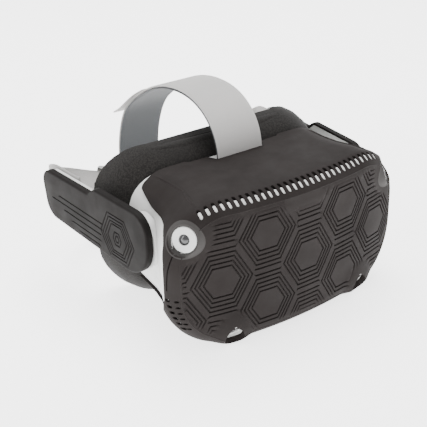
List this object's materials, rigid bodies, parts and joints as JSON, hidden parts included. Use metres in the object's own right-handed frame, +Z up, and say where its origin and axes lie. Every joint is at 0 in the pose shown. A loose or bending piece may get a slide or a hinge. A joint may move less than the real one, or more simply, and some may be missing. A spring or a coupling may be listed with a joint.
{
  "type": "vr headset",
  "caption": "Standalone VR headset: bowed visor in a ribbed rubber protector, sleeved strap arms on side pivots, rear strap, and a fabric band over the top.",
  "frame": {"origin": "middle of the headset's base, on the surface it stands on, under the centre of its length and width", "axes": "+X towards the wearer's left, -Y the way the wearer looks (the visor's front), +Y towards the back of the head, +Z up"},
  "size_m": [0.2142, 0.2314, 0.142],
  "materials": {
    "dark_rubber": "matte moulded silicone rubber",
    "white_plastic": "fine satin moulded plastic, light warm grey",
    "black_plastic": "matte black moulded plastic",
    "camera_glass": "dark polished glass",
    "metal": "bead-blasted metal",
    "circuit": "green solder resist",
    "battery_wrap": "dark foil wrap",
    "screen_glass": "black polished glass",
    "gear_plastic": "natural acetal",
    "status_lens": "clear light pipe, unlit",
    "lens_glass": "polished clear lens",
    "black_foam": "close-knit face over soft foam",
    "grey_webbing": "light grey woven elastic webbing",
    "grey_plastic": "satin light grey plastic"
  },
  "bodies": {
    "visor": {"audio_jack": "black_plastic", "battery": "battery_wrap", "camera_glass_lower_left": "camera_glass", "camera_glass_lower_right": "camera_glass", "camera_glass_upper_left": "camera_glass", "camera_glass_upper_right": "camera_glass", "camera_module_lower_left": "black_plastic", "camera_module_lower_right": "black_plastic", "camera_module_upper_left": "black_plastic", "camera_module_upper_right": "black_plastic", "camera_ring_lower_left": "white_plastic", "camera_ring_lower_right": "white_plastic", "camera_ring_upper_left": "white_plastic", "camera_ring_upper_right": "white_plastic", "face_cushion": "black_foam", "facial_interface": "black_plastic", "fan_housing": "black_plastic", "frame_screws": "metal", "front_shell": "white_plastic", "heat_sink": "metal", "inner_frame": "metal", "lens_bezel": "black_plastic", "lens_rails": "metal", "main_board": "circuit", "pinion_pin": "metal", "pivot_boss_left": "white_plastic", "pivot_boss_right": "white_plastic", "pivot_pin_left": "metal", "pivot_pin_right": "metal", "rear_shell": "white_plastic", "rocker_bracket": "metal", "rubber_protector": "dark_rubber", "screen_bezel": "black_plastic", "screen_panel": "screen_glass", "status_light": "status_lens", "strap_anchor": "black_plastic", "usb_port": "metal", "vent_frame": "black_plastic", "wear_sensor": "camera_glass"},
    "harness": {"arm_sleeve_left": "dark_rubber", "arm_sleeve_right": "dark_rubber", "strap_arm_left": "white_plastic", "strap_arm_right": "white_plastic", "speaker_left": "black_plastic", "speaker_right": "black_plastic", "rear_strap": "grey_webbing", "strap_junction": "grey_plastic", "top_strap": "grey_webbing"},
    "eyepiece_left": {"lens_barrel_left": "black_plastic", "lens_left": "lens_glass"},
    "eyepiece_right": {"lens_barrel_right": "black_plastic", "lens_right": "lens_glass"},
    "pinion": {"lens_pinion": "gear_plastic"},
    "button": {"power_button": "white_plastic"},
    "rocker": {"volume_rocker": "white_plastic"},
    "fan": {"fan_rotor": "black_plastic"},
    "slider_left": {"strap_slider_left": "grey_plastic"},
    "slider_right": {"strap_slider_right": "grey_plastic"}
  },
  "joints": [
    {"name": "harness_tilt", "type": "hinge", "parent": "visor", "child": "harness", "pos_m": [0, -0.05366, 0.06785], "axis": [1, 0, 0], "range_deg": [-12, 30], "deforming": ["top_strap"]},
    {"name": "eye_spacing_left", "type": "slide", "parent": "visor", "child": "eyepiece_left", "axis": [1, 0, 0], "range_m": [-0.0025, 0.0025]},
    {"name": "eye_spacing_right", "type": "slide", "parent": "visor", "child": "eyepiece_right", "axis": [1, 0, 0], "range_m": [-0.0025, 0.0025]},
    {"name": "pinion_turn", "type": "hinge", "parent": "visor", "child": "pinion", "pos_m": [0, -0.07416, 0.05385], "axis": [0, 1, 0], "range_deg": [-30, 30]},
    {"name": "power_press", "type": "slide", "parent": "visor", "child": "button", "axis": [1, 0, 0], "range_m": [0, 0.0006], "stiffness_N_per_m": 500},
    {"name": "volume_rock", "type": "hinge", "parent": "visor", "child": "rocker", "pos_m": [0.04, -0.06266, 0.01125], "axis": [0, 1, 0], "range_deg": [-3, 3], "stiffness_Nm_per_rad": 0.3},
    {"name": "fan_spin", "type": "hinge", "parent": "visor", "child": "fan", "pos_m": [0.03, -0.09916, 0.06785], "axis": [0, 1, 0], "continuous": true},
    {"name": "slider_left_travel", "type": "slide", "parent": "harness", "child": "slider_left", "axis": [-0.8888, 0.2625, -0.3758], "range_m": [-0.01, 0.004]},
    {"name": "slider_right_travel", "type": "slide", "parent": "harness", "child": "slider_right", "axis": [0.8888, 0.2625, -0.3758], "range_m": [-0.01, 0.004]}
  ],
  "couplings": [
    {"joint": "eye_spacing_right", "follows": "eye_spacing_left", "ratio": -1},
    {"joint": "pinion_turn", "follows": "eye_spacing_left", "rad_per_m": 208.33}
  ]
}
